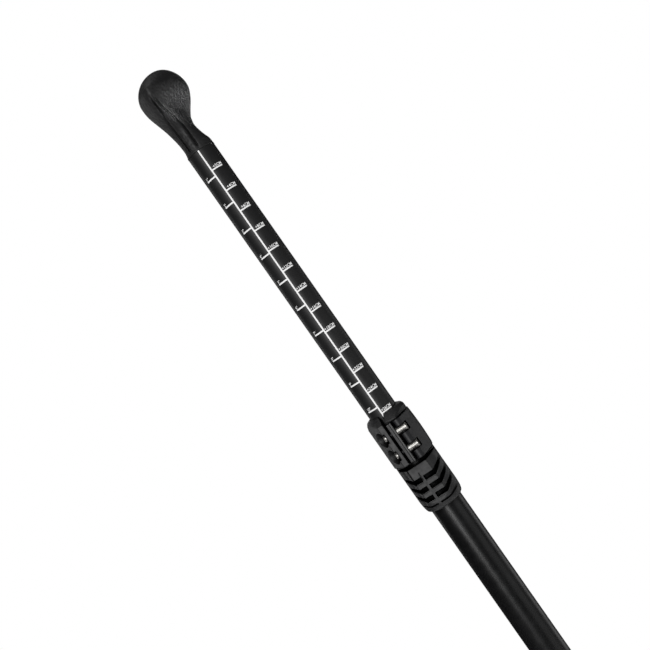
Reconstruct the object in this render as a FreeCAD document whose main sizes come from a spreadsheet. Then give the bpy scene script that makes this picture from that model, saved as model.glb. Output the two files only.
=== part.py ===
import FreeCAD, Part
import math
import os

import Sketcher

# Telescopic probe pole with a palm grip. Millimetres, +Z up the pole.
# Origin: on the pole's axis, at the shoulder where a basket or stand socket seats.
# The grip's arms lie along Y, and the clamp's split faces -Y.

DRIVING = (
    # tubes
    ("outer_radius", 14.3),
    ("outer_bore", 12.8),
    ("outer_top", 520),
    ("inner_radius", 12.7),
    ("inner_bore", 11.5),
    ("overlap", 95),
    ("reach", 260.5),
    ("plug_radius", 11.4),
    # clamp, measured down from its mouth
    ("mouth_lip", 2.5),
    ("mouth_radius", 12.95),
    ("clamp_length", 90),
    ("clamp_bore", 14.45),
    ("clamp_radius", 18.1),
    ("clamp_flat", 18),
    ("flat_half", 9.3),
    ("collar_front", 20.5),
    ("seam_depth", 8),
    ("slot_depth", 45.6),
    ("slot_wide", 3.4),
    ("core_ring_radius", 15.9),
    ("split_left", -2.7),
    ("split_wide", 2),
    ("lug_front", -24.5),
    ("lug_top", 8.2),
    ("lug_long", 36),
    ("groove_first", 59.6),
    ("groove_pitch", 8.4),
    ("groove_wide", 3.6),
    ("groove_floor", 15.2),
    # cam lever and its screws
    ("axle_across", 8.2),
    ("axle_front", -19),
    ("axle_radius", 1.5),
    ("knuckle_radius", 4.4),
    ("lever_radius", 19.4),
    ("lever_inner", 16.25),
    ("lever_top", 8.4),
    ("lever_long", 36.3),
    ("shoe_left", 2),
    ("shoe_thick", 1.55),
    ("screw_first", 17.4),
    ("screw_pitch", 16.4),
    ("screw_radius", 2),
    ("head_radius", 2.9),
    ("head_thick", 2.4),
    ("pocket_radius", 6.85),
    ("pocket_floor", -5.8),
    ("barrel_radius", 3.2),
    # grip
    ("grip_tall", 73.7),
    ("grip_waist", 54.6),
    ("grip_half_thick", 21.25),
    ("grip_half_long", 43.5),
    ("spigot_long", 45),
    # foot
    ("seat_radius", 12),
    ("seat_long", 18),
    ("shoulder_thick", 4),
    ("ferrule_radius", 12.7),
    ("ferrule_bore", 9.5),
    ("ferrule_top", 62),
    ("stud_radius", 4),
    ("point_long", 36),
    ("button_high", 34),
    ("button_radius", 4),
    ("button_out", 16),
    # running gap between a pin, button or shank and its hole
    ("running_gap", 0.05),
)

MOUTH = "(dim.outer_top + dim.mouth_lip)"
JUNCTION = "(dim.outer_top + dim.mouth_lip + dim.reach)"
INNER_END = "(dim.outer_top - dim.overlap)"

RING_POINTS = 32
UP = FreeCAD.Vector(0, 0, 1)
ALONG_X = FreeCAD.Vector(1, 0, 0)
ALONG_Y = FreeCAD.Vector(0, 1, 0)

doc = FreeCAD.newDocument("probe_pole")
sheet = doc.addObject("Spreadsheet::Sheet", "dim")
for row, (alias, number) in enumerate(DRIVING, start=1):
    sheet.set("A%d" % row, alias)
    sheet.set("B%d" % row, str(number))
    sheet.setAlias("B%d" % row, alias)
doc.recompute()


# Helpers: every size and place is an expression on the sheet's cells.

def bind_place(item, at):
    for axis_name, text in zip("xyz", at):
        item.setExpression(".Placement.Base.%s" % axis_name, text)


def cylinder(name, radius, length, at, axis=UP, start=0, sweep=360):
    """A round bar from at along axis; start and sweep cut it to a slice about Z."""
    item = doc.addObject("Part::Cylinder", name)
    item.setExpression("Radius", radius)
    item.setExpression("Height", length)
    item.Angle = sweep
    turn = FreeCAD.Rotation(UP, axis).multiply(FreeCAD.Rotation(UP, start))
    item.Placement = FreeCAD.Placement(FreeCAD.Vector(), turn)
    bind_place(item, at)
    return item


def cone(name, low_radius, high_radius, length, at):
    item = doc.addObject("Part::Cone", name)
    item.setExpression("Radius1", low_radius)
    item.setExpression("Radius2", high_radius)
    item.setExpression("Height", length)
    bind_place(item, at)
    return item


def box(name, size, at):
    item = doc.addObject("Part::Box", name)
    for prop, text in zip(("Length", "Width", "Height"), size):
        item.setExpression(prop, text)
    bind_place(item, at)
    return item


def torus(name, ring_radius, wire_radius, at):
    item = doc.addObject("Part::Torus", name)
    item.setExpression("Radius1", ring_radius)
    item.setExpression("Radius2", wire_radius)
    bind_place(item, at)
    return item


def cut(name, base, *tools):
    """base with every tool taken away in turn."""
    for number, tool in enumerate(tools):
        item = doc.addObject("Part::Cut", "%s_cut_%d" % (name, number))
        item.Base = base
        item.Tool = tool
        base = item
    base.Label = name
    return base


def fuse(name, *pieces):
    item = doc.addObject("Part::MultiFuse", name)
    item.Shapes = list(pieces)
    item.Refine = True
    return item


def common(name, *pieces):
    item = doc.addObject("Part::MultiCommon", name)
    item.Shapes = list(pieces)
    return item


def outline(body, role, points):
    """A closed sketch of straight lines, each corner held by two expressions."""
    plane = [item for item in body.Origin.OriginFeatures if item.Role == role][0]
    sketch = body.newObject("Sketcher::SketchObject", body.Name + "_outline")
    sketch.AttachmentSupport = [(plane, "")]
    sketch.MapMode = "FlatFace"
    count = len(points)
    start = []
    for number in range(count):
        angle = 2 * math.pi * number / count
        start.append(FreeCAD.Vector(30 * math.cos(angle), 30 * math.sin(angle), 0))
    for number in range(count):
        sketch.addGeometry(Part.LineSegment(start[number], start[(number + 1) % count]))
    for number in range(count):
        sketch.addConstraint(Sketcher.Constraint("Coincident", number, 2, (number + 1) % count, 1))
    for number, corner in enumerate(points):
        for kind, value, text in zip(("DistanceX", "DistanceY"), start[number], corner):
            held = sketch.addConstraint(Sketcher.Constraint(kind, number, 1, value))
            sketch.setExpression("Constraints[%d]" % held, text)
    return sketch


def turned(name, points):
    """A solid of revolution about Z from (radius, height) corners."""
    body = doc.addObject("PartDesign::Body", name)
    sketch = outline(body, "XZ_Plane", points)
    turn = body.newObject("PartDesign::Revolution", name + "_turn")
    turn.Profile = sketch
    turn.ReferenceAxis = (sketch, ["V_Axis"])
    turn.Angle = 360
    return body


def raised(name, points, length, height):
    """A prism along Z from (x, y) corners, standing at height."""
    body = doc.addObject("PartDesign::Body", name)
    sketch = outline(body, "XY_Plane", points)
    pad = body.newObject("PartDesign::Pad", name + "_pad")
    pad.Profile = sketch
    pad.setExpression("Length", length)
    bind_place(body, ("0", "0", height))
    return body


# Grip: a stiff core with a spigot, overmoulded with a soft skin.

def superellipse(height, middle, ends, thick, long, power):
    """A level ring: power 2 is an ellipse, and less than 2 draws it in between its four ends.
    middle is where its centre lies along X, and ends is where its two ends along Y lie."""
    corners = []
    for step in range(RING_POINTS):
        angle = 2 * math.pi * step / RING_POINTS
        across = math.copysign(abs(math.cos(angle)) ** (2 / power), math.cos(angle))
        along = math.copysign(abs(math.sin(angle)) ** (2 / power), math.sin(angle))
        aside = middle + (ends - middle) * along * along
        corners.append(FreeCAD.Vector(aside + thick * across, long * along, height))
    curve = Part.BSplineCurve()
    curve.interpolate(corners, PeriodicFlag=True)
    return Part.Wire([curve.toShape()])


def grip_form():
    """Palm grip outer form: level rings stacked up the pole, round at the tube and drawn out along Y
    into two arms, then closed by a dome that is lower over the arms than over the pole."""
    neck = (
        # height, middle, ends, half thickness, half length, power
        (0, 0, 0, 12.7, 12.7, 2),
        (6, 0.35, 0.1, 12.05, 12.7, 2),
        (12, -0.75, 0.2, 11.1, 12.7, 2),
        (18, -1.85, 0.3, 10.65, 12.9, 1.95),
        (24, -2.8, 0.3, 10.75, 15.8, 1.85),
        (30, -3.1, 0.3, 11.65, 23, 1.75),
        (36, -3.6, 0.3, 12.8, 33, 1.65),
        (42, -2.15, 0.3, 16, 40, 1.6),
        (48, 0.05, 0.4, 19.65, 43, 1.6),
    )
    rings = [superellipse(*station) for station in neck]
    waist = sheet.grip_waist
    for degrees in (0, 18, 36, 52, 66, 78, 86):
        rise = math.sin(math.radians(degrees))
        middle = 1.25 + 4.2 * rise ** 1.35
        rings.append(superellipse(
            waist + (sheet.grip_tall - waist) * rise,
            middle,
            middle,
            sheet.grip_half_thick * math.sqrt(1 - rise ** 1.64),
            sheet.grip_half_long * math.sqrt(1 - rise ** 1.11),
            1.6 + 0.55 * rise,
        ))
    form = doc.addObject("Part::Feature", "grip_form")
    form.Shape = Part.makeLoft(rings, True)
    bind_place(form, ("0", "0", JUNCTION))
    return form


def grip_core():
    spigot = cylinder("core_spigot", "dim.plug_radius", "dim.spigot_long",
                      ("0", "0", JUNCTION + " - dim.spigot_long"))
    post = cylinder("core_post", "5.5", "dim.grip_tall * 0.7", ("-1", "0", JUNCTION))
    bar = cylinder("core_bar", "9", "dim.grip_half_long * 1.3",
                   ("0", "-dim.grip_half_long * 0.65", JUNCTION + " + dim.grip_tall * 0.7"), ALONG_Y)
    return fuse("grip_core", spigot, post, bar)


def grip_skin():
    post = cylinder("skin_post_hole", "5.5", "dim.grip_tall * 0.7", ("-1", "0", JUNCTION))
    bar = cylinder("skin_bar_hole", "9", "dim.grip_half_long * 1.3",
                   ("0", "-dim.grip_half_long * 0.65", JUNCTION + " + dim.grip_tall * 0.7"), ALONG_Y)
    return cut("grip_skin", grip_form(), post, bar)


# Sliding section: tube, end plug and the split ring that guides it.

def inner_tube():
    wall = cylinder("inner_wall", "dim.inner_radius", "dim.reach + dim.mouth_lip + dim.overlap",
                    ("0", "0", INNER_END))
    hollow = cylinder("inner_hollow", "dim.inner_bore", "dim.reach + dim.mouth_lip + dim.overlap",
                      ("0", "0", INNER_END))
    return cut("inner_tube", wall, hollow)


def inner_end_plug():
    """Spigot in the tube, a rim under its end, then a waist for the guide ring."""
    return turned("inner_end_plug", (
        ("0", INNER_END + " + 30"),
        ("dim.plug_radius", INNER_END + " + 30"),
        ("dim.plug_radius", INNER_END),
        ("dim.inner_radius - 0.1", INNER_END),
        ("dim.inner_radius - 0.1", INNER_END + " - 2"),
        ("10.5", INNER_END + " - 2"),
        ("10.5", INNER_END + " - 12"),
        ("12.2", INNER_END + " - 12"),
        ("11.6", INNER_END + " - 14"),
        ("0", INNER_END + " - 14"),
    ))


def guide_ring():
    ring = cylinder("guide_wall", "dim.outer_bore - dim.running_gap", "9.4", ("0", "0", INNER_END + " - 11.7"))
    waist = cylinder("guide_hollow", "10.5 + dim.running_gap", "9.4", ("0", "0", INNER_END + " - 11.7"))
    opening = box("guide_opening", ("3", "20", "12"), ("-1.5", "0", INNER_END + " - 13"))
    return cut("guide_ring", ring, waist, opening)


# Fixed section: tube and clamp.

def outer_tube():
    """Its slotted top end is what the clamp squeezes onto the sliding tube."""
    length = "dim.outer_top - dim.shoulder_thick"
    wall = cylinder("outer_wall", "dim.outer_radius", length, ("0", "0", "dim.shoulder_thick"))
    hollow = cylinder("outer_hollow", "dim.outer_bore", length, ("0", "0", "dim.shoulder_thick"))
    slot = box("squeeze_slot", ("1.6", "12", "42"),
               ("dim.split_left + dim.split_wide / 2 - 0.8", "-20", "dim.outer_top - 42"))
    slot_end = cylinder("squeeze_slot_end", "1.6", "12",
                        ("dim.split_left + dim.split_wide / 2", "-20", "dim.outer_top - 42"), ALONG_Y)
    button_hole = cylinder("tube_button_hole", "dim.button_radius + dim.running_gap", "12",
                           ("0", "-20", "dim.button_high"), ALONG_Y)
    return cut("outer_tube", wall, hollow, slot, slot_end, button_hole)


def below_mouth(depth):
    return "%s - (%s)" % (MOUTH, depth)


def screw_heights():
    """Heights of the upper and the lower clamp screw."""
    return (below_mouth("dim.screw_first"), below_mouth("dim.screw_first + dim.screw_pitch"))


def clamp_outer():
    """Round behind, flat in front, with sloped cheeks between, and rounded at both ends."""
    base = below_mouth("dim.clamp_length")
    barrel = cylinder("clamp_barrel", "dim.clamp_radius", "dim.clamp_length", ("0", "0", base))
    front = raised("clamp_front", (
        ("dim.clamp_radius", "0"),
        ("dim.clamp_radius", "-3.5"),
        ("dim.flat_half", "-dim.clamp_flat"),
        ("-dim.flat_half", "-dim.clamp_flat"),
        ("-dim.clamp_radius", "-3.5"),
        ("-dim.clamp_radius", "0"),
    ), "dim.clamp_length", base)
    collar = raised("clamp_collar", (
        ("dim.clamp_radius", "0"),
        ("dim.clamp_radius", "-5"),
        ("10.5", "-dim.collar_front"),
        ("-9.5", "-dim.collar_front"),
        ("-dim.clamp_radius", "-5"),
        ("-dim.clamp_radius", "0"),
    ), "dim.seam_depth", below_mouth("dim.seam_depth"))
    envelope = turned("clamp_envelope", (
        ("0", MOUTH),
        ("13.9", MOUTH),
        ("16.6", MOUTH + " - 1.4"),
        ("18.4", MOUTH + " - 3.8"),
        ("24", MOUTH + " - 9"),
        ("24", base + " + 16"),
        ("18.2", base + " + 8"),
        ("17", base + " + 2.6"),
        ("15.3", base),
        ("0", base),
    ))
    return common("clamp_outer", fuse("clamp_mass", barrel, front, collar), envelope)


def lever_recess():
    """The pocket beside the collar that the closed lever lies in."""
    height = "dim.slot_depth - dim.seam_depth"
    low = below_mouth("dim.slot_depth")
    around = cylinder("recess_around", "30", height, ("0", "0", low), UP, -88, 169)
    inside = cylinder("recess_inside", "dim.core_ring_radius", height, ("0", "0", low))
    return cut("lever_recess", around, inside)


def rib_groove(number):
    """One groove round the front of the sleeve, broken by a spine and running out at the sides."""
    low = below_mouth("dim.groove_first + %d * dim.groove_pitch + dim.groove_wide" % number)
    name = "groove_%d" % number
    around = cylinder(name + "_around", "30", "dim.groove_wide", ("0", "0", low), UP, -165, 150)
    inside = cylinder(name + "_inside", "dim.groove_floor", "dim.groove_wide", ("0", "0", low))
    spine = box(name + "_spine", ("2.6", "60", "dim.groove_wide"), ("dim.split_left", "-30", low))
    return cut(name, around, inside, spine)


def clamp_body():
    jaw_low = below_mouth("dim.lug_top + dim.lug_long")
    base = below_mouth("dim.clamp_length")
    left_lug = raised("left_lug", (
        ("dim.split_left", "dim.lug_front"),
        ("-7.6", "dim.lug_front"),
        ("-dim.clamp_radius", "-7"),
        ("-12", "-6"),
        ("dim.split_left", "-14"),
    ), "dim.lug_long + 2.2", jaw_low)
    right_edge = "(dim.split_left + dim.split_wide)"
    right_lug = box("right_lug", ("dim.shoe_left - " + right_edge, "10.5", "dim.lug_long"),
                    (right_edge, "dim.lug_front", jaw_low))
    mass = fuse("clamp_with_lugs", cut("clamp_recessed", clamp_outer(), lever_recess()), left_lug, right_lug)
    tube_bore = cylinder("clamp_tube_bore", "dim.clamp_bore", "dim.clamp_length - dim.mouth_lip",
                         ("0", "0", base))
    mouth_bore = cylinder("clamp_mouth_bore", "dim.mouth_radius", "10", ("0", "0", MOUTH + " - 8"))
    split = box("clamp_split", ("dim.split_wide", "20", "dim.slot_depth + 1"),
                ("dim.split_left", "-30", below_mouth("dim.slot_depth")))
    relief = cylinder("relief_slot", "30", "dim.slot_wide",
                      ("0", "0", below_mouth("dim.slot_depth + dim.slot_wide")), UP, 195, 158)
    cuts = [tube_bore, mouth_bore, split, relief]
    for number, height in enumerate(screw_heights()):
        cuts.append(cylinder("screw_pocket_%d" % number, "dim.pocket_radius", "20",
                             ("dim.pocket_floor - 20", "dim.axle_front", height), ALONG_X))
        cuts.append(cylinder("screw_hole_%d" % number, "dim.screw_radius + 0.15", "20",
                             ("-15", "dim.axle_front", height), ALONG_X))
    cuts.extend(rib_groove(number) for number in range(3))
    return cut("clamp_body", mass, *cuts)


def cam_shoe():
    """Wear plate between the lever's cam and the right lug."""
    plate = box("shoe_plate", ("dim.shoe_thick", "8.5", "dim.lug_long"),
                ("dim.shoe_left", "dim.lug_front", below_mouth("dim.lug_top + dim.lug_long")))
    holes = []
    for number, height in enumerate(screw_heights()):
        holes.append(cylinder("shoe_hole_%d" % number, "dim.barrel_radius + 0.1", "10",
                              ("0", "dim.axle_front", height), ALONG_X))
    return cut("cam_shoe", plate, *holes)


def screw_set(name, height):
    """Socket screw, washer and cross-drilled barrel nut on one line along X."""
    head_seat = "dim.pocket_floor - 0.8"
    shank = cylinder(name + "_shank", "dim.screw_radius", "12.2",
                     (head_seat, "dim.axle_front", height), ALONG_X)
    head = cylinder(name + "_head", "dim.head_radius", "dim.head_thick",
                    (head_seat + " - dim.head_thick", "dim.axle_front", height), ALONG_X)
    socket = doc.addObject("Part::Prism", name + "_socket")
    socket.Polygon = 6
    socket.Circumradius = 1.6
    socket.Height = 1.4
    socket.Placement = FreeCAD.Placement(FreeCAD.Vector(), FreeCAD.Rotation(UP, ALONG_X))
    bind_place(socket, (head_seat + " - dim.head_thick", "dim.axle_front", height))
    cut(name + "_clamp_screw", fuse(name + "_screw_blank", shank, head), socket)
    disc = cylinder(name + "_disc", "dim.head_radius + 0.4", "0.8",
                    (head_seat, "dim.axle_front", height), ALONG_X)
    eye = cylinder(name + "_washer_eye", "dim.screw_radius + 0.1", "0.8",
                   (head_seat, "dim.axle_front", height), ALONG_X)
    cut(name + "_screw_washer", disc, eye)
    barrel = cylinder(name + "_barrel", "dim.barrel_radius", "10.7",
                      ("dim.shoe_left + 0.1", "dim.axle_front", height), ALONG_X)
    thread = cylinder(name + "_thread", "dim.screw_radius + dim.running_gap", "4.2",
                      ("dim.shoe_left + 0.1", "dim.axle_front", height), ALONG_X)
    cross = cylinder(name + "_cross", "dim.axle_radius + dim.running_gap", "10",
                     ("dim.axle_across", "dim.axle_front", height + " - 5"))
    cut(name + "_barrel_nut", barrel, thread, cross)


def lever_axle():
    return cylinder("lever_axle", "dim.axle_radius", "dim.lever_long - 1.2",
                    ("dim.axle_across", "dim.axle_front", below_mouth("dim.lever_top + dim.lever_long - 0.6")))


def clamp_lever():
    """Cam knuckles on the axle, and a plate that wraps round the clamp to a finger lip."""
    low = below_mouth("dim.lever_top + dim.lever_long")
    knuckle = cylinder("lever_knuckle", "dim.knuckle_radius", "dim.lever_long",
                       ("dim.axle_across", "dim.axle_front", low))
    wrap = cylinder("lever_wrap", "dim.lever_radius", "dim.lever_long", ("0", "0", low), UP, -50, 122)
    cheek = raised("lever_cheek", (
        ("9", "-22.9"),
        ("11.6", "-21.9"),
        ("19.3", "-6"),
        ("19.3", "0"),
        ("10", "0"),
        ("7.2", "-15.1"),
    ), "dim.lever_long", low)
    hollow = cylinder("lever_hollow", "dim.lever_inner", "dim.lever_long", ("0", "0", low))
    lip_angle = math.radians(72)
    lip = cylinder("lever_lip", "2", "dim.lever_long",
                   ("(dim.lever_radius - 1.6) * %.4f" % math.cos(lip_angle),
                    "(dim.lever_radius - 0.6) * %.4f" % math.sin(lip_angle), low))
    plate = cut("lever_plate", fuse("lever_mass", wrap, cheek), hollow)
    bore = cylinder("lever_bore", "dim.axle_radius + dim.running_gap", "dim.lever_long",
                    ("dim.axle_across", "dim.axle_front", low))
    cuts = [bore]
    for number, height in enumerate(screw_heights()):
        cuts.append(cylinder("nut_window_%d" % number, "6.1", "2 * dim.barrel_radius + 0.6",
                             ("dim.axle_across", "dim.axle_front", height + " - dim.barrel_radius - 0.3")))
    return cut("clamp_lever", fuse("lever_blank", plate, knuckle, lip), *cuts)


# Foot: ferrule, screwed steel point and spring button.

def tip_ferrule():
    """Basket seat below the shoulder, spigot with an O-ring groove above it."""
    turned_form = turned("ferrule_form", (
        ("dim.stud_radius + dim.running_gap", "-dim.seat_long"),
        ("dim.seat_radius", "-dim.seat_long"),
        ("dim.seat_radius", "0"),
        ("dim.outer_radius", "0"),
        ("dim.outer_radius", "dim.shoulder_thick"),
        ("dim.ferrule_radius", "dim.shoulder_thick"),
        ("dim.ferrule_radius", "dim.shoulder_thick + 6"),
        ("10.5", "dim.shoulder_thick + 6"),
        ("10.5", "dim.shoulder_thick + 8.6"),
        ("dim.ferrule_radius", "dim.shoulder_thick + 8.6"),
        ("dim.ferrule_radius", "dim.ferrule_top - 1"),
        ("dim.ferrule_radius - 1", "dim.ferrule_top"),
        ("dim.ferrule_bore", "dim.ferrule_top"),
        ("dim.ferrule_bore", "dim.shoulder_thick + 12"),
        ("dim.stud_radius + dim.running_gap", "dim.shoulder_thick + 12"),
    ))
    button_hole = cylinder("ferrule_button_hole", "dim.button_radius + dim.running_gap", "15",
                           ("0", "-20", "dim.button_high"), ALONG_Y)
    return cut("tip_ferrule", turned_form, button_hole)


def ferrule_o_ring():
    return torus("ferrule_o_ring", "11.65", "1.12", ("0", "0", "dim.shoulder_thick + 7.3"))


def tip_point():
    """Threaded stud, a round base with two spanner flats, and a blunt cone."""
    foot = "(-dim.seat_long - dim.point_long)"
    base_radius = "(dim.seat_radius - 0.4)"
    stud = cylinder("point_stud", "dim.stud_radius", "dim.seat_long + 12", ("0", "0", "-dim.seat_long"))
    base = cylinder("point_base", base_radius, "9", ("0", "0", "-dim.seat_long - 9"))
    taper = cone("point_taper", "2.2", base_radius, "dim.point_long - 9 - 1.6",
                 ("0", "0", foot + " + 1.6"))
    nose = doc.addObject("Part::Sphere", "point_nose")
    nose.Radius = 2.35
    bind_place(nose, ("0", "0", foot + " + 2.35"))
    flats = []
    for name, side in (("front_flat", "-%s - 8.8" % base_radius), ("back_flat", "%s - 1.2" % base_radius)):
        flats.append(box(name, ("30", "10", "5.5"), ("-15", side, "-dim.seat_long - 8")))
    return cut("tip_point", fuse("point_blank", stud, base, taper, nose), *flats)


def tip_button():
    """Domed pin with a foot that stops inside the ferrule."""
    pin = cylinder("button_pin", "dim.button_radius", "dim.button_out - 7.7",
                   ("0", "-dim.button_out", "dim.button_high"), ALONG_Y)
    dome = doc.addObject("Part::Sphere", "button_dome")
    dome.Radius = 6.2
    bind_place(dome, ("0", "-dim.button_out + 6.2", "dim.button_high"))
    reach = cylinder("button_reach", "5.2", "1.2", ("0", "-7.7", "dim.button_high"), ALONG_Y)
    block = box("button_block", ("20", "30", "20"), ("-10", "-dim.button_out + 3.6", "dim.button_high - 10"))
    domed = common("button_domed", pin, fuse("button_limits", dome, block))
    return fuse("tip_button", domed, reach)


def button_spring():
    """Folded leaf spring that leans on the far wall and holds the button out."""
    body = doc.addObject("PartDesign::Body", "button_spring")
    sketch = outline(body, "YZ_Plane", (
        ("-6.45", "dim.button_high - 7"),
        ("-6.45", "dim.button_high + 6"),
        ("0.2", "dim.button_high + 22"),
        ("1.6", "dim.button_high + 22"),
        ("8.5", "dim.button_high + 6"),
        ("8.5", "dim.button_high - 4"),
        ("7.9", "dim.button_high - 4"),
        ("7.9", "dim.button_high + 5.8"),
        ("0.9", "dim.button_high + 20.8"),
        ("-5.85", "dim.button_high + 5.8"),
        ("-5.85", "dim.button_high - 7"),
    ))
    pad = body.newObject("PartDesign::Pad", "button_spring_pad")
    pad.Profile = sketch
    pad.SideType = "Symmetric"
    pad.Length = 7
    return body


grip_core()
grip_skin()
inner_tube()
inner_end_plug()
guide_ring()
outer_tube()
clamp_body()
cam_shoe()
for screw_name, screw_height in zip(("upper", "lower"), screw_heights()):
    screw_set(screw_name, screw_height)
lever_axle()
clamp_lever()
tip_ferrule()
ferrule_o_ring()
tip_point()
tip_button()
button_spring()

NODES = (
    "grip_core", "grip_skin", "inner_tube", "inner_end_plug", "guide_ring",
    "outer_tube", "clamp_body", "cam_shoe", "clamp_lever", "lever_axle",
    "upper_clamp_screw", "lower_clamp_screw", "upper_screw_washer", "lower_screw_washer",
    "upper_barrel_nut", "lower_barrel_nut",
    "tip_ferrule", "ferrule_o_ring", "tip_point", "tip_button", "button_spring",
)

doc.recompute()
for item in doc.Objects:
    if "Invalid" in item.State or "Error" in item.State:
        raise RuntimeError("%s did not build" % item.Name)

os.makedirs("parts", exist_ok=True)
for node in NODES:
    piece = doc.getObjectsByLabel(node)[0]
    shape = piece.Shape
    if shape.isNull() or not shape.isValid() or len(shape.Solids) != 1:
        raise RuntimeError("%s is not one valid solid" % node)
    shape.exportStep(os.path.join("parts", node + ".step"))
    limits = shape.BoundBox
    print("%-20s %9.0f mm3  x %7.1f %7.1f  y %7.1f %7.1f  z %7.1f %7.1f" % (
        node, shape.Volume, limits.XMin, limits.XMax, limits.YMin, limits.YMax, limits.ZMin, limits.ZMax))
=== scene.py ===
import math

import bmesh
import bpy
from mathutils import Matrix, Vector


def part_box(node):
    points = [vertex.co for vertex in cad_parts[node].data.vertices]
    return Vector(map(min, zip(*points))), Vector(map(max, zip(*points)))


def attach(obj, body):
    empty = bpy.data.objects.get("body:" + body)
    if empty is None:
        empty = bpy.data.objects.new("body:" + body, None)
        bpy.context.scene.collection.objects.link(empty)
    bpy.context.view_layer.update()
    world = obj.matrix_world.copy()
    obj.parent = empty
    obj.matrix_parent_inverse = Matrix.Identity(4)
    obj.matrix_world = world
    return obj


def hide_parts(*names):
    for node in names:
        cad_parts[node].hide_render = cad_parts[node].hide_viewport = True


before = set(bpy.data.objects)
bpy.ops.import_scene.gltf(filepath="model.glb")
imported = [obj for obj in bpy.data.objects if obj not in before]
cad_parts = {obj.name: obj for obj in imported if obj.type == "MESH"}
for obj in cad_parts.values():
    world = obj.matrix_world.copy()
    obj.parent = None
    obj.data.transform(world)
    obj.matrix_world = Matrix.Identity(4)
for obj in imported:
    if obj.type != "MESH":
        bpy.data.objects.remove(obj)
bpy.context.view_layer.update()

# Lengths in this file are millimetres, in the CAD model's frame. Meshes are made in metres.
MM = 0.001
ON_AXIS = 0.0001  # a turned form's radius where it meets its axis


def corners(node):
    """Lowest and highest corner of a CAD node."""
    low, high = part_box(node)
    return [value / MM for value in low], [value / MM for value in high]


MOUTH = corners("clamp_body")[1][2]
CLAMP_END = corners("clamp_body")[0][2]
JUNCTION = corners("grip_skin")[0][2]
GRIP_TOP = corners("grip_skin")[1][2]
FLOOR = corners("tip_point")[0][2]
TUBE_RADIUS = 12.7
TUBE_BORE = 11.5
OUTER_RADIUS = 14.3
OUTER_BORE = 12.8


# Camera: square to the pole, level with a point of the scale, rolled so that the pole leans left.

CAMERA_AWAY = 700
CAMERA_BELOW_GRIP = 175
CAMERA_ASIDE = 1.7
CAMERA_AZIMUTH = 10
CAMERA_ROLL = 35
CAMERA_LENS = 47


def make_camera():
    """The camera looks level at the pole, and its roll leans the pole in the picture."""
    turn = math.radians(CAMERA_AZIMUTH)
    roll = math.radians(CAMERA_ROLL)
    back = Vector((math.sin(turn), -math.cos(turn), 0))
    side = Vector((math.cos(turn), math.sin(turn), 0))
    pole = Vector((0, 0, 1))
    right = side * math.cos(roll) - pole * math.sin(roll)
    up = side * math.sin(roll) + pole * math.cos(roll)
    place = back * CAMERA_AWAY + side * CAMERA_ASIDE + pole * (JUNCTION - CAMERA_BELOW_GRIP)
    data = bpy.data.cameras.new("camera")
    data.lens = CAMERA_LENS
    data.sensor_width = 36
    data.clip_start = 0.01
    data.clip_end = 50
    camera = bpy.data.objects.new("camera", data)
    bpy.context.scene.collection.objects.link(camera)
    camera.matrix_world = Matrix((
        (right.x, up.x, back.x, place.x * MM),
        (right.y, up.y, back.y, place.y * MM),
        (right.z, up.z, back.z, place.z * MM),
        (0, 0, 0, 1),
    ))
    bpy.context.scene.camera = camera


# Studio: a white backdrop, a pale floor and soft boxes round the pole.

def area_light(name, azimuth, elevation, distance, size, watts, aim, spread=180):
    """A soft box round the pole, facing a point at height aim. A grid narrows its spread."""
    a = math.radians(azimuth)
    e = math.radians(elevation)
    out = Vector((math.sin(a) * math.cos(e), -math.cos(a) * math.cos(e), math.sin(e)))
    data = bpy.data.lights.new(name, "AREA")
    data.shape = "RECTANGLE"
    data.size = size[0]
    data.size_y = size[1]
    data.energy = watts
    data.spread = math.radians(spread)
    light = bpy.data.objects.new(name, data)
    bpy.context.scene.collection.objects.link(light)
    light.location = Vector((0, 0, aim * MM)) + out * distance
    light.rotation_mode = "QUATERNION"
    light.rotation_quaternion = (-out).to_track_quat("-Z", "Y")


def make_world():
    """White where the camera sees it, and a dim room for everything else."""
    scene = bpy.context.scene
    scene.view_settings.view_transform = "Standard"
    scene.view_settings.look = "None"
    world = bpy.data.worlds.new("studio")
    scene.world = world
    world.use_nodes = True
    nodes = world.node_tree.nodes
    links = world.node_tree.links
    nodes.clear()
    room = nodes.new("ShaderNodeBackground")
    room.inputs["Strength"].default_value = 0.02
    backdrop = nodes.new("ShaderNodeBackground")
    for light in (room, backdrop):
        light.inputs["Color"].default_value = (1, 1, 1, 1)
    seen = nodes.new("ShaderNodeLightPath")
    mix = nodes.new("ShaderNodeMixShader")
    out = nodes.new("ShaderNodeOutputWorld")
    links.new(seen.outputs["Is Camera Ray"], mix.inputs["Fac"])
    links.new(room.outputs[0], mix.inputs[1])
    links.new(backdrop.outputs[0], mix.inputs[2])
    links.new(mix.outputs[0], out.inputs["Surface"])


FLOOR_RADIUS = 0.45


def make_floor():
    """A round pale floor under the point."""
    mesh = bpy.data.meshes.new("floor")
    rim = []
    for step in range(96):
        angle = 2 * math.pi * step / 96
        rim.append((FLOOR_RADIUS * math.cos(angle), FLOOR_RADIUS * math.sin(angle), FLOOR * MM))
    mesh.from_pydata(rim, [], [list(range(96))])
    floor = bpy.data.objects.new("floor", mesh)
    bpy.context.scene.collection.objects.link(floor)
    paper = bpy.data.materials.new("floor_paper")
    paper.use_nodes = True
    shader = paper.node_tree.nodes["Principled BSDF"]
    shader.inputs["Base Color"].default_value = (0.9, 0.9, 0.9, 1)
    shader.inputs["Roughness"].default_value = 0.9
    shader.inputs["Emission Color"].default_value = (1, 1, 1, 1)
    shader.inputs["Emission Strength"].default_value = 0.45
    mesh.materials.append(paper)


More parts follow.
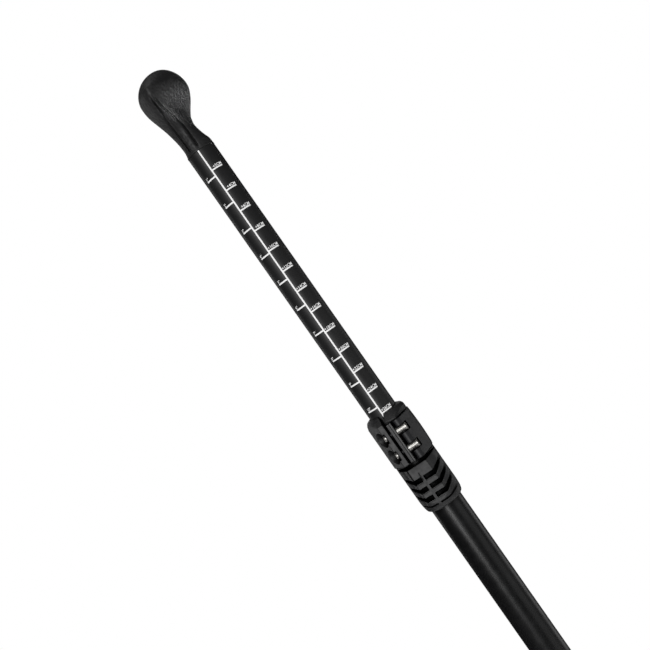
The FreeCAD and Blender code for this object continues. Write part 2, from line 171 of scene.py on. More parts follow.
def make_lights():
    """Each is azimuth, elevation, distance and size in metres, watts, and the height aimed at."""
    middle = JUNCTION - 180
    area_light("key", -7, 4, 1.6, (0.5, 1.5), 17, middle)
    area_light("fill_right", 66, -14, 1.7, (1.2, 1.5), 2.6, middle)
    area_light("rim_left", -125, 6, 1.6, (0.4, 1.6), 2.5, middle)
    area_light("rim_right", 126, -20, 1.6, (0.6, 1.4), 2.6, middle)
    area_light("top", 0, 89, 1.5, (1.2, 1.2), 4, GRIP_TOP)
    area_light("under_grip", 145, -52, 0.8, (0.25, 0.25), 0.15, JUNCTION + 60, spread=12)
    area_light("behind", 188, 12, 1.8, (1.2, 1.5), 4, middle)


# Materials: every one is procedural, and worked out from the piece's own coordinates.

class Look:
    """A Principled material. Noise varies its colour and roughness, and its grain is bump."""

    CLOSED = 0.58  # share of open sky at which a groove counts as closed

    def __init__(self, name, dark, light, rough, metal=0.0, mottle=120, **sockets):
        self.made = bpy.data.materials.new(name)
        self.made.use_nodes = True
        self.nodes = self.made.node_tree.nodes
        self.links = self.made.node_tree.links
        self.shader = self.nodes["Principled BSDF"]
        self.shader.inputs["Metallic"].default_value = metal
        for socket, value in sockets.items():
            self.shader.inputs[socket.replace("_", " ")].default_value = value
        self.place = self.nodes.new("ShaderNodeTexCoord").outputs["Object"]
        cloud = self.noise(mottle, 6)
        self.ramp(cloud, (*dark, 1), (*light, 1), self.shader.inputs["Base Color"])
        self.spread(self.noise(mottle * 2.3, 4), rough[0], rough[1], self.shader.inputs["Roughness"])
        self.height = None

    def noise(self, scale, detail, stretch=(1, 1, 1)):
        """Noise at that many cells to the metre, drawn out along the axes by stretch."""
        squeeze = self.nodes.new("ShaderNodeMapping")
        squeeze.inputs["Scale"].default_value = stretch
        self.links.new(self.place, squeeze.inputs["Vector"])
        node = self.nodes.new("ShaderNodeTexNoise")
        node.inputs["Scale"].default_value = scale
        node.inputs["Detail"].default_value = detail
        node.inputs["Roughness"].default_value = 0.6
        self.links.new(squeeze.outputs[0], node.inputs["Vector"])
        return node.outputs["Fac"]

    def cells(self, scale):
        """Rounded cells like leather's, that many to the metre."""
        node = self.nodes.new("ShaderNodeTexVoronoi")
        node.feature = "SMOOTH_F1"
        node.inputs["Scale"].default_value = scale
        self.links.new(self.place, node.inputs["Vector"])
        return node.outputs["Distance"]

    def ramp(self, source, low, high, target):
        """Turns a noise into a colour between two."""
        node = self.nodes.new("ShaderNodeValToRGB")
        node.color_ramp.elements[0].position = 0.3
        node.color_ramp.elements[0].color = low
        node.color_ramp.elements[1].position = 0.7
        node.color_ramp.elements[1].color = high
        self.links.new(source, node.inputs["Fac"])
        self.links.new(node.outputs["Color"], target)

    def spread(self, source, low, high, target):
        """Turns a noise into a value between two."""
        node = self.nodes.new("ShaderNodeMapRange")
        node.inputs["From Min"].default_value = 0.3
        node.inputs["From Max"].default_value = 0.7
        node.inputs["To Min"].default_value = low
        node.inputs["To Max"].default_value = high
        self.links.new(source, node.inputs["Value"])
        self.links.new(node.outputs[0], target)

    def paint_crevice_shade(self, reach, darkest):
        """Paints shade into narrow grooves: where little open sky reaches, colour and gloss fall to a
        share of themselves.
        """
        # Painted shade: ambient occlusion darkens the base colour and the specular level in hollows.
        closed = self.nodes.new("ShaderNodeAmbientOcclusion")
        closed.inputs["Distance"].default_value = reach * MM
        closed.samples = 8
        shares = []
        for most in (1, 0.5):
            share = self.nodes.new("ShaderNodeMapRange")
            share.inputs["From Min"].default_value = self.CLOSED
            share.inputs["From Max"].default_value = 1
            share.inputs["To Min"].default_value = darkest * most
            share.inputs["To Max"].default_value = most
            self.links.new(closed.outputs["AO"], share.inputs["Value"])
            shares.append(share.outputs[0])
        base = self.shader.inputs["Base Color"]
        mix = self.nodes.new("ShaderNodeVectorMath")
        mix.operation = "SCALE"
        self.links.new(base.links[0].from_socket, mix.inputs[0])
        self.links.new(shares[0], mix.inputs["Scale"])
        self.links.new(mix.outputs[0], base)
        self.links.new(shares[1], self.shader.inputs["Specular IOR Level"])

    def bump(self, source, depth, strength=1.0):
        """Adds relief of that many millimetres on top of what is there."""
        node = self.nodes.new("ShaderNodeBump")
        node.inputs["Distance"].default_value = depth * MM
        node.inputs["Strength"].default_value = strength
        self.links.new(source, node.inputs["Height"])
        if self.height is not None:
            self.links.new(self.height, node.inputs["Normal"])
        self.height = node.outputs["Normal"]
        self.links.new(self.height, self.shader.inputs["Normal"])
        return self


def make_looks():
    """The finishes, by name."""
    looks = {}

    tube = Look("satin_tube", (0.013, 0.013, 0.0135), (0.018, 0.018, 0.0185), (0.44, 0.54), mottle=60)
    tube.bump(tube.noise(900, 4, (0.25, 0.25, 3)), 0.006)
    tube.bump(tube.noise(2600, 2), 0.003)
    looks["inner_tube"] = tube

    outer = Look("hooped_tube", (0.0045, 0.0046, 0.005), (0.0075, 0.0075, 0.008), (0.28, 0.38),
                 mottle=60)
    outer.bump(outer.noise(420, 5, (0.12, 0.12, 5)), 0.02)
    outer.bump(outer.noise(2600, 2), 0.003)
    # Painted shade: the tube's colour and gloss darken where the clamp closes round it, as in its slot.
    outer.paint_crevice_shade(5, 0.1)
    looks["outer_tube"] = outer

    rubber = Look("grip_rubber", (0.018, 0.018, 0.0185), (0.026, 0.026, 0.0265), (0.50, 0.62),
                  mottle=90)
    rubber.bump(rubber.cells(420), 0.55, 0.9)
    rubber.bump(rubber.noise(1500, 3), 0.03, 0.6)
    # Painted shade: the grip's colour and gloss darken in its creases.
    rubber.paint_crevice_shade(4, 0.15)
    looks["grip"] = rubber

    nylon = Look("clamp_nylon", (0.019, 0.019, 0.020), (0.028, 0.028, 0.0285), (0.42, 0.54),
                 mottle=140)
    nylon.bump(nylon.noise(1300, 4), 0.03, 0.7)
    # Painted shade: the clamp's colour and gloss darken in its grooves, screw pockets and relief slot.
    nylon.paint_crevice_shade(10, 0.03)
    looks["clamp"] = nylon

    lever = Look("lever_nylon", (0.011, 0.011, 0.013), (0.016, 0.016, 0.018), (0.42, 0.52), mottle=100)
    lever.bump(lever.noise(1700, 3), 0.02, 0.6)
    # Painted shade: the lever's colour and gloss darken in its windows and hollows.
    lever.paint_crevice_shade(6, 0.06)
    looks["lever"] = lever

    shoe = Look("shoe_acetal", (0.040, 0.040, 0.040), (0.055, 0.055, 0.055), (0.4, 0.5), mottle=200)
    shoe.bump(shoe.noise(900, 3, (1, 1, 0.1)), 0.02, 0.6)
    looks["shoe"] = shoe

    acetal = Look("guide_acetal", (0.40, 0.40, 0.38), (0.48, 0.48, 0.46), (0.4, 0.5))
    acetal.bump(acetal.noise(800, 3), 0.01)
    looks["guide"] = acetal

    steel = Look("turned_steel", (0.48, 0.47, 0.45), (0.58, 0.57, 0.54), (0.36, 0.46), 1.0, mottle=300)
    steel.bump(steel.noise(2200, 3, (1, 1, 1)), 0.006)
    looks["steel"] = steel

    black = Look("black_steel", (0.02, 0.02, 0.021), (0.035, 0.035, 0.036), (0.4, 0.55), 1.0,
                 mottle=400)
    black.bump(black.noise(1800, 3), 0.008)
    looks["black_steel"] = black

    spring = Look("spring_steel", (0.38, 0.38, 0.39), (0.5, 0.5, 0.5), (0.25, 0.35), 1.0)
    spring.bump(spring.noise(1500, 3, (4, 0.3, 0.3)), 0.01)
    looks["spring"] = spring

    alloy = Look("dark_anodised", (0.030, 0.030, 0.032), (0.042, 0.042, 0.045), (0.30, 0.40), 0.6,
                 mottle=90)
    alloy.bump(alloy.noise(500, 4, (0.1, 0.1, 6)), 0.012)
    looks["alloy"] = alloy

    seal = Look("nitrile_rubber", (0.016, 0.016, 0.016), (0.024, 0.024, 0.024), (0.45, 0.55))
    seal.bump(seal.noise(1500, 3), 0.01)
    looks["seal"] = seal

    # The ink's emission is a painted glow: it lights the print beyond what the lamps give.
    ink = Look("white_ink", (0.86, 0.86, 0.85), (0.93, 0.93, 0.93), (0.45, 0.6), mottle=700,
               Emission_Color=(1, 1, 1, 1), Emission_Strength=0.3)
    ink.bump(ink.noise(1800, 3), 0.006)
    looks["ink"] = ink
    return looks


# Mesh helpers.

def piece(name, points, faces, look, body, slot, *nodes, smooth_below=35):
    """A new piece from points in millimetres, riding a body and standing for CAD nodes."""
    data = bpy.data.meshes.new(name)
    data.from_pydata([(x * MM, y * MM, z * MM) for x, y, z in points], [], faces)
    return finish_piece(bpy.data.objects.new(name, data), look, body, slot, *nodes,
                        smooth_below=smooth_below)


def finish_piece(item, look, body, slot, *nodes, smooth_below=35):
    """Cleans, shades, paints and places a piece whose mesh is made."""
    data = item.data
    mesh = bmesh.new()
    mesh.from_mesh(data)
    bmesh.ops.remove_doubles(mesh, verts=mesh.verts, dist=0.002 * MM)
    bmesh.ops.recalc_face_normals(mesh, faces=mesh.faces)
    mesh.to_mesh(data)
    mesh.free()
    data.shade_smooth()
    data.set_sharp_from_angle(angle=math.radians(smooth_below))
    data.materials.clear()
    data.materials.append(LOOKS[look].made)
    if item.name not in bpy.context.scene.collection.objects:
        bpy.context.scene.collection.objects.link(item)
    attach(item, body)
    if nodes:
        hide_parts(*nodes)
    return item


def finish_carved(item, name, *details, **options):
    """Finishes a piece that was carved in millimetres."""
    item.data.transform(Matrix.Scale(MM, 4))
    item.name = name
    return finish_piece(item, *details, **options)


def tube_faces(rings, count, ends="capped"):
    """Faces between rings of points, each closed on itself, with ends capped, open or joined."""
    faces = []
    for ring in range(rings - 1):
        for step in range(count):
            after = (step + 1) % count
            faces.append((ring * count + step, ring * count + after,
                          (ring + 1) * count + after, (ring + 1) * count + step))
    last = (rings - 1) * count
    if ends == "capped":
        faces.append(tuple(reversed(range(count))))
        faces.append(tuple(last + step for step in range(count)))
    if ends == "joined":
        for step in range(count):
            after = (step + 1) % count
            faces.append((last + step, last + after, after, step))
    return faces


def lathe(profile, around=96, axis="Z", centre=(0, 0, 0), closed=True):
    """Points and faces of a turned form: profile lists (radius, height) along the axis.
    A closed profile joins its last corner to its first, as a tube's does."""
    points = []
    for radius, height in profile:
        for step in range(around):
            angle = 2 * math.pi * step / around
            a = radius * math.cos(angle)
            b = radius * math.sin(angle)
            local = {"X": (height, a, b), "Y": (a, height, b), "Z": (a, b, height)}[axis]
            points.append(tuple(c + v for c, v in zip(centre, local)))
    return points, tube_faces(len(profile), around, "joined" if closed else "capped")


def loft(low_outline, low, high_outline, high):
    """Points and faces between two level outlines of (x, y) corners."""
    points = [(x, y, low) for x, y in low_outline] + [(x, y, high) for x, y in high_outline]
    return points, tube_faces(2, len(low_outline))


def prism(outline, low, high):
    """Points and faces of an upright prism from (x, y) corners."""
    return loft(outline, low, outline, high)


def bar(radius, start, length, axis, around=64):
    """Points and faces of a round bar from a point along X, Y or Z."""
    return lathe(((radius, 0), (radius, length)), around, axis, start, closed=False)


def block(low, high):
    """Points and faces of a box between two corners."""
    x0, y0, z0 = low
    x1, y1, z1 = high
    return prism(((x0, y0), (x1, y0), (x1, y1), (x0, y1)), z0, z1)


def loose(points, faces):
    """A scratch object for booleans, in millimetres so that the solver keeps its accuracy."""
    data = bpy.data.meshes.new("scratch")
    data.from_pydata(points, [], faces)
    mesh = bmesh.new()
    mesh.from_mesh(data)
    bmesh.ops.recalc_face_normals(mesh, faces=mesh.faces)
    mesh.to_mesh(data)
    mesh.free()
    item = bpy.data.objects.new("scratch", data)
    bpy.context.scene.collection.objects.link(item)
    return item


def bake_modifiers(item):
    """Replaces the object's mesh by its evaluated one, with no modifiers left."""
    graph = bpy.context.evaluated_depsgraph_get()
    data = bpy.data.meshes.new_from_object(item.evaluated_get(graph))
    item.modifiers.clear()
    old = item.data
    item.data = data
    bpy.data.meshes.remove(old)


def carve(item, operation, *forms):
    """Adds forms to the object or takes them away, then throws the forms away."""
    for form in forms:
        tool = loose(*form)
        step = item.modifiers.new("step", "BOOLEAN")
        step.operation = operation
        step.solver = "EXACT"
        step.object = tool
        bake_modifiers(item)
        bpy.data.meshes.remove(tool.data)
    return item


def mould(item, voxel, rounds, keep):
    """Softens a carved form's edges as moulding does: voxels, smoothing, then fewer faces."""
    remesh = item.modifiers.new("remesh", "REMESH")
    remesh.mode = "VOXEL"
    remesh.voxel_size = voxel
    smooth = item.modifiers.new("smooth", "SMOOTH")
    smooth.factor = 0.5
    smooth.iterations = rounds
    thin = item.modifiers.new("thin", "DECIMATE")
    thin.ratio = keep
    bake_modifiers(item)
    return item


def ease(x, low, high):
    """0 below low, 1 above high, smooth between."""
    share = min(1, max(0, (x - low) / (high - low)))
    return share * share * (3 - 2 * share)


def soft_min(values, sharpness=60):
    """The least of positive values, rounded where two are close."""
    return sum(value ** -sharpness for value in values) ** (-1 / sharpness)


def front_angle(step, count):
    """Angles round the pole from the front, closest together at the front."""
    share = 2 * step / count - 1
    return math.radians(180 * (0.62 * share + 0.38 * share ** 3))


def arc(radius, degrees):
    """(x, y) corners of an arc, one for each of its angles from +X."""
    angles = [math.radians(angle) for angle in degrees]
    return [(radius * math.cos(angle), radius * math.sin(angle)) for angle in angles]


def place_at(radius, angle, height):
    """A point at an angle from the front (-Y), turning towards +X."""
    return (radius * math.sin(angle), -radius * math.cos(angle), height)


# Grip: level rings up the pole, round at the tube, drawn out along Y into two arms with a ridge.

GRIP_NECK = (
    # height, middle, ends, half thickness, half length, power
    (0, 0, 0, 12.7, 12.7, 2),
    (6, 0.35, 0.1, 12.05, 12.7, 2),
    (12, -0.75, 0.2, 11.1, 12.7, 2),
    (18, -1.85, 0.3, 10.65, 12.9, 1.95),
    (24, -2.8, 0.3, 10.75, 15.8, 1.85),
    (30, -3.1, 0.3, 11.65, 23, 1.75),
    (36, -3.6, 0.3, 12.8, 33, 1.65),
    (42, -2.15, 0.3, 16, 40, 1.6),
    (48, 0.05, 0.4, 19.65, 43, 1.6),
    (54.6, 1.25, 1.25, 21.25, 43.5, 1.6),
)
GRIP_TALL = GRIP_TOP - JUNCTION
GRIP_WAIST = GRIP_NECK[-1][0]
CAP_LEAN = 4.2
CAP_LEAN_POWER = 1.35
CAP_THICK_POWER = 1.64
CAP_LONG_POWER = 1.11
CAP_ROUNDING = 0.55


def between(stations, height):
    """Smooth values between stations, each a tuple that starts with its height."""
    last = len(stations) - 1
    index = max(i for i in range(last) if stations[i][0] <= height or i == 0)
    low, high = stations[index], stations[index + 1]
    span = high[0] - low[0]
    share = (height - low[0]) / span

    def slope(number, column):
        if number in (0, last):
            return 0
        before, after = stations[number - 1], stations[number + 1]
        return (after[column] - before[column]) / (after[0] - before[0])

    values = []
    for column in range(1, len(low)):
        a, b = low[column], high[column]
        rise_a = slope(index, column) * span
        rise_b = slope(index + 1, column) * span
        values.append(
            a * (1 + 2 * share) * (1 - share) ** 2 + rise_a * share * (1 - share) ** 2
            + b * share ** 2 * (3 - 2 * share) + rise_b * share ** 2 * (share - 1))
    return values


def grip_ring(height):
    """Where a ring's middle and its ends lie along X, its half thickness, half length and power."""
    if height <= GRIP_WAIST:
        return between(GRIP_NECK, height)
    rise = (height - GRIP_WAIST) / (GRIP_TALL - GRIP_WAIST)
    middle, ends, thick, long, power = GRIP_NECK[-1][1:]
    aside = CAP_LEAN * rise ** CAP_LEAN_POWER
    thick *= math.sqrt(max(0, 1 - rise ** CAP_THICK_POWER))
    long *= math.sqrt(max(0, 1 - rise ** CAP_LONG_POWER))
    return middle + aside, ends + aside, thick, long, power + CAP_ROUNDING * rise


CROWN = 0.9
CREASE_LEFT = 1.9
CREASE_RIGHT = 1.3
CREASE_WIDE = 0.75
RIDGE = (
    # height, middle, half width
    (0, -1.5, 3.4),
    (16, -1.5, 3.5),
    (25, -1.4, 3.2),
    (32, -1.1, 2.2),
    (38, -0.3, 0.9),
    (45, 0, 0.7),
    (74, 0, 0.7),
)


def ridge(height, x):
    """How far the ridge along the arms' edges stands out, with a crease down each side."""
    middle, half = between(RIDGE, height)
    aside = abs(x - middle)
    starts = ease(height, 1.5, 5)
    crown = CROWN * (1 - ease(aside, half * 0.5, half * 1.1)) * (1 - ease(height, 40, 50))
    depth = CREASE_LEFT if x < middle else CREASE_RIGHT
    valley = math.exp(-((aside - half - 0.8) / CREASE_WIDE) ** 2)
    crease = depth * valley * (1 - ease(height, 42, 50))
    return starts * (crown - crease)


def grip():
    around = 240
    heights = [0, 0.3, 0.8, 1.3, 1.7]
    heights += [1.7 + (GRIP_WAIST - 1.7) * step / 72 for step in range(1, 73)]
    cap = GRIP_TALL - GRIP_WAIST
    heights += [GRIP_WAIST + cap * math.sin(math.radians(90 * step / 36)) for step in range(1, 36)]
    points = []
    for height in heights:
        middle, ends, thick, long, power = grip_ring(height)
        lip = 0.22 * ease(height, 0, 0.4) * (1 - ease(height, 1.2, 1.8))
        for step in range(around):
            angle = 2 * math.pi * step / around
            across = math.copysign(abs(math.cos(angle)) ** (2 / power), math.cos(angle))
            along = math.copysign(abs(math.sin(angle)) ** (2 / power), math.sin(angle))
            x = thick * across
            y = long * along
            out = lip
            if abs(y) > long * 0.5:
                out += ridge(height, x)
            reach = math.hypot(x, y)
            aside = middle + (ends - middle) * along * along
            x *= 1 + lip / reach
            y *= 1 + out / max(reach, 6)
            points.append((aside + x, y, JUNCTION + height))
    faces = tube_faces(len(heights), around, "open")
    faces.append(tuple(reversed(range(around))))
    top = len(points)
    points.append((grip_ring(GRIP_TALL - 0.001)[0], 0, GRIP_TOP))
    ring = (len(heights) - 1) * around
    for step in range(around):
        faces.append((ring + step, ring + (step + 1) % around, top))
    piece("grip_cover", points, faces, "grip", "inner_section", "grip_rubber", "grip_skin",
          smooth_below=70)


# Tubes: the outer one is slotted at its top behind the clamp's split, and drilled for the button.

TUBE_SLOT_HALF = 0.8
TUBE_SLOT_LONG = 42


def pipe_profile(outer, bore, low, high, chamfer=0.35):
    """A tube's section with chamfered ends."""
    return (
        (bore, low + chamfer), (bore + chamfer, low),
        (outer - chamfer, low), (outer, low + chamfer),
        (outer, high - chamfer), (outer - chamfer, high),
        (bore + chamfer, high), (bore, high - chamfer),
    )


def tubes():
    low = corners("inner_tube")[0][2]
    points, faces = lathe(pipe_profile(TUBE_RADIUS, TUBE_BORE, low, JUNCTION), 128)
    piece("sliding_tube", points, faces, "inner_tube", "inner_section", "inner_tube_black",
          "inner_tube")

    low, high = (corner[2] for corner in corners("outer_tube"))
    tube = loose(*lathe(pipe_profile(OUTER_RADIUS, OUTER_BORE, low, high), 128))
    slot = block((SPLIT_MIDDLE - TUBE_SLOT_HALF, -20, high - TUBE_SLOT_LONG),
                 (SPLIT_MIDDLE + TUBE_SLOT_HALF, -8, high + 1))
    carve(tube, "DIFFERENCE", slot, bar(BUTTON_HOLE, (0, -20, BUTTON_HIGH), 12, "Y"))
    finish_carved(tube, "lower_tube", "outer_tube", "outer_section", "outer_tube_black", "outer_tube")


# The printed scale: a line down the front, ticks every 2 cm and every inch, and their numbers.

INK_PROUD = 0.03
LINE_MIDDLE = 0.6
LINE_HALF = 0.62
TICK_HALF = 0.6
TICK_RIGHT = 11
TICK_LEFT = -9.4
LABEL_HIGH = 2.3
LABEL_ABOVE = 1.0
INCH = 25.4
TWO_CM = 20
TWO_CM_MARKS = 13
INCH_MARKS = 10


def wrap(points):
    """Points (distance round the tube, depth below the grip) laid on the tube's front."""
    radius = TUBE_RADIUS + INK_PROUD
    return [place_at(radius, along / TUBE_RADIUS, JUNCTION - below) for along, below in points]


def strip(points, faces, left, right, top, bottom):
    """A printed rectangle, divided finely enough round the tube to follow it."""
    count = max(1, math.ceil(abs(right - left) / 0.6))
    for row in range(count):
        a = left + (right - left) * row / count
        b = left + (right - left) * (row + 1) / count
        first = len(points)
        points += wrap(((a, bottom), (b, bottom), (b, top), (a, top)))
        faces.append(tuple(range(first, first + 4)))


def label(points, faces, text, height, place_left, base):
    """Text laid round the tube, its foot at base. place_left gives its left end from its width."""
    curve = bpy.data.curves.new("label", "FONT")
    curve.body = text
    curve.size = height / 0.7
    curve.offset = height * 0.018
    curve.resolution_u = 3
    holder = bpy.data.objects.new("label", curve)
    bpy.context.scene.collection.objects.link(holder)
    graph = bpy.context.evaluated_depsgraph_get()
    flat = bpy.data.meshes.new_from_object(holder.evaluated_get(graph))
    bpy.data.objects.remove(holder)
    bpy.data.curves.remove(curve)
    wide = max(v.co.x for v in flat.vertices) - min(v.co.x for v in flat.vertices)
    first = len(points)
    points += wrap([(place_left(wide) + v.co.x, base - v.co.y) for v in flat.vertices])
    faces += [tuple(first + i for i in face.vertices) for face in flat.polygons]
    bpy.data.meshes.remove(flat)


def printed_scale():
    points = []
    faces = []
    low = corners("inner_tube")[0][2]
    strip(points, faces, LINE_MIDDLE - LINE_HALF, LINE_MIDDLE + LINE_HALF, 0.3, JUNCTION - low - 20)
    for number in range(1, TWO_CM_MARKS + 1):
        below = TWO_CM * number
        top, bottom = below - TICK_HALF, below + TICK_HALF
        strip(points, faces, LINE_MIDDLE + LINE_HALF, TICK_RIGHT, top, bottom)
        label(points, faces, "+%dCM" % (2 * number), LABEL_HIGH,
              lambda wide: TICK_RIGHT + 0.1 - wide, below - LABEL_ABOVE)
    for number in range(1, INCH_MARKS + 1):
        below = INCH * number
        top, bottom = below - TICK_HALF, below + TICK_HALF
        strip(points, faces, TICK_LEFT, LINE_MIDDLE - LINE_HALF, top, bottom)
        label(points, faces, '%d"' % number, LABEL_HIGH, lambda wide: TICK_LEFT, below - LABEL_ABOVE)
    piece("printed_scale", points, faces, "ink", "inner_section", "inner_tube_black")


# Clamp: a jaw with two lugs, and a ribbed sleeve below its relief slot. Depths run down from the
# mouth. A face is how far out its flat is, the flat's half width, and how far out its cheeks end.

ROUND_RADIUS = 18.1
COLLAR_FACE = (20.5, 9.9, 5)
JAW_FACE = (18, 9.3, 3.5)
COLLAR_RIM = ((0, 14.1), (1.2, 16.4), (3.8, 18.5), (9, 24), (60, 24))
LEVER_SEAT = 15.9
BEYOND = 32
SPLIT = (-2.7, -0.7)
SPLIT_MIDDLE = -1.7
LUG_FRONT = -24.5
LUG_DEPTHS = (8.2, 44.2)
LEFT_LUG_TOP = 6
SLOT_DEPTHS = (45.6, 49)
RELIEF_SLOPE = 0.09
SEAM_DEPTH = 8
SCREW_DEPTHS = (17.4, 33.8)
POCKET_RADIUS = 6.85
POCKET_FLOOR = -5.8
SCREW_HOLE = 2.15
AXLE = (8.2, -19)
CLAMP_BORE = 14.45
JAW_BORE = 13.2
COLLAR_BORE = 12.95
CLAMP_LONG = MOUTH - CLAMP_END


def section(angle, flat, half, cheek_y):
    """Radius of the clamp's outline: round, with a flat front and two sloped cheeks beside it."""
    around = abs(angle)
    if around >= math.pi / 2:
        return ROUND_RADIUS
    slope = math.atan2(flat - cheek_y, ROUND_RADIUS - half)
    distance = half * math.sin(slope) + flat * math.cos(slope)
    sides = [distance / math.cos(around - slope)]
    if math.cos(around) > 0.05:
        sides.append(flat / math.cos(around))
    if math.sin(around) > 0.05:
        sides.append(ROUND_RADIUS / math.sin(around))
    return max(ROUND_RADIUS, soft_min(sides, 140))


def jaw_radius(angle, depth):
    """The jaw's outline at a depth: the collar's is deeper in front, and its rim is rounded."""
    rim = between(COLLAR_RIM, depth)[0]
    face = COLLAR_FACE if depth < SEAM_DEPTH else JAW_FACE
    return soft_min((section(angle, *face), rim))


def ring_form(depths, radius_at, bore, around=144):
    """A ring whose outer radius depends on angle and depth, with a round bore."""
    points = []
    top, bottom = depths[0], depths[-1]
    rows = [(top, None)] + [(depth, radius_at) for depth in depths] + [(bottom, None)]
    for depth, outer in rows:
        for step in range(around):
            angle = front_angle(step, around)
            radius = outer(angle, depth) if outer else bore
            points.append(place_at(radius, angle, MOUTH - depth))
    return points, tube_faces(len(rows), around, "joined")


def screw_height(depth):
    return MOUTH - depth


def clamp_jaw():
    collar_depths = [0, 0.4, 0.8, 1.2, 1.8, 2.5, 3.2, 3.8, 5, 6.5, SEAM_DEPTH - 0.01]
    jaw_depths = [SEAM_DEPTH - 1, SEAM_DEPTH - 0.5, 20, 35, SLOT_DEPTHS[1] + 0.3]
    jaw = loose(*ring_form(
        jaw_depths, lambda angle, depth: jaw_radius(angle, max(depth, SEAM_DEPTH)), JAW_BORE))
    recess_low = MOUTH - SLOT_DEPTHS[0]
    recess_high = MOUTH - SEAM_DEPTH
    sector = arc(LEVER_SEAT, range(81, -89, -4)) + arc(BEYOND, range(-87, 82, 4))
    carve(jaw, "DIFFERENCE", prism(sector, recess_low, recess_high))
    carve(jaw, "UNION", ring_form(collar_depths, jaw_radius, COLLAR_BORE))

    lug_low = MOUTH - LUG_DEPTHS[1]
    lug_high = MOUTH - LUG_DEPTHS[0]
    left_lug = ((SPLIT[0], LUG_FRONT), (-7.6, LUG_FRONT), (-18.15, -7), (-12, -6), (SPLIT[0], -14))
    carve(jaw, "UNION", prism(left_lug, lug_low, MOUTH - LEFT_LUG_TOP))
    shoulder = ((SPLIT[0], -18.2), (-7.4, -17.8), (-16.6, -7), (-12, -6), (SPLIT[0], -14))
    carve(jaw, "UNION", loft(left_lug, MOUTH - LEFT_LUG_TOP - 0.1, shoulder, MOUTH - 3))
    carve(jaw, "UNION", block((SPLIT[1], LUG_FRONT, lug_low), (2, -14, lug_high)))

    left, right = SPLIT[0] - 1.2, SPLIT[1] + 2.4
    notch = ((left, -30), (right, -30), (right, -8), (left, -8))
    left, right = SPLIT
    slit = ((left, -30), (right, -30), (right, -8), (left, -8))
    cuts = [
        prism(slit, MOUTH - SLOT_DEPTHS[0] - 1, MOUTH + 1),
        loft(slit, MOUTH - SEAM_DEPTH, notch, MOUTH + 1.5),
        bar(CLAMP_BORE, (0, 0, MOUTH - 60), 60 - 2.5, "Z", 128),
    ]
    relief = ((0, 4), (-25, -7), (-25, -30), (25, -30), (25, -3))
    points, faces = prism(relief, MOUTH - SLOT_DEPTHS[1] - 3, recess_low)
    sloped = [(x, y, z - RELIEF_SLOPE * (y + 18) * (z > recess_low - 1)) for x, y, z in points]
    cuts.append((sloped, faces))
    for depth in SCREW_DEPTHS:
        height = screw_height(depth)
        cuts.append(bar(POCKET_RADIUS, (-30, AXLE[1], height), 30 + POCKET_FLOOR, "X"))
        cuts.append(bar(SCREW_HOLE, (-30, AXLE[1], height), 40, "X"))
    carve(jaw, "DIFFERENCE", *cuts)
    mould(jaw, 0.32, 4, 0.35)
    finish_carved(jaw, "clamp_jaw", "clamp", "outer_section", "clamp_nylon", "clamp_body",
                  smooth_below=60)


# Sleeve: rows of points at even depths, each bent up the cheeks as the grooves climb them.

SPINE = -1.4
GROOVES = (61, 69.4, 77.8)
GROOVE_FLOOR = 15.2
LAST_GROOVE = 84.6
SLEEVE_END = (
    # depth, radius
    (70, 26),
    (76, 24),
    (80, 20.8),
    (84, 18.7),
    (87, 17.7),
    (89, 16.7),
    (CLAMP_LONG, 15.4),
)


def sleeve_sweep(angle):
    """How far a groove has climbed the cheek at an angle."""
    return 6.0 * max(0, (abs(math.degrees(angle)) - 27) / 50) ** 1.25


def across_front(angle):
    """Distance along X at which an angle meets the flat front."""
    return JAW_FACE[0] * math.tan(max(-1.2, min(1.2, angle)))


def beside_spine(angle):
    """0 on the spine that runs down the front, 1 beside it."""
    return ease(abs(across_front(angle) - SPINE), 1.15, 1.5)


def groove_share(angle, depth):
    """1 inside a groove, 0 outside. The spine breaks the grooves, and they run out on the cheeks."""
    degrees = abs(math.degrees(angle))
    half = 1.85 - 0.65 * ease(degrees, 30, 75)
    inside = max(1 - ease(abs(depth - middle), half - 0.05, half + 0.3) for middle in GROOVES)
    return inside * (1 - ease(degrees, 60, 80)) * beside_spine(angle)


def sleeve_marks(angle, depth):
    """What the small marks add to the sleeve's radius."""
    across = across_front(angle)
    runs = (1 - ease(abs(math.degrees(angle)), 58, 80)) * beside_spine(angle)
    out = 0
    for middle in GROOVES:
        out += 0.22 * runs * math.exp(-((depth - middle - 2.5) / 0.35) ** 2)
    out -= 1.1 * runs * (1 - ease(abs(depth - LAST_GROOVE), 0.4, 0.8))
    out -= 1.0 * math.exp(-((across + 9.4) / 0.45) ** 2) * (1 - ease(depth, 59, 60))
    mark = ease(depth, 54, 55) * (1 - ease(depth, 62, 62.5))
    out += 0.3 * math.exp(-((across + 1.9) / 0.3) ** 2) * mark
    out += 0.5 * math.exp(-(((across + 1.8) / 0.5) ** 2 + ((depth - 61.1) / 0.5) ** 2))
    return out


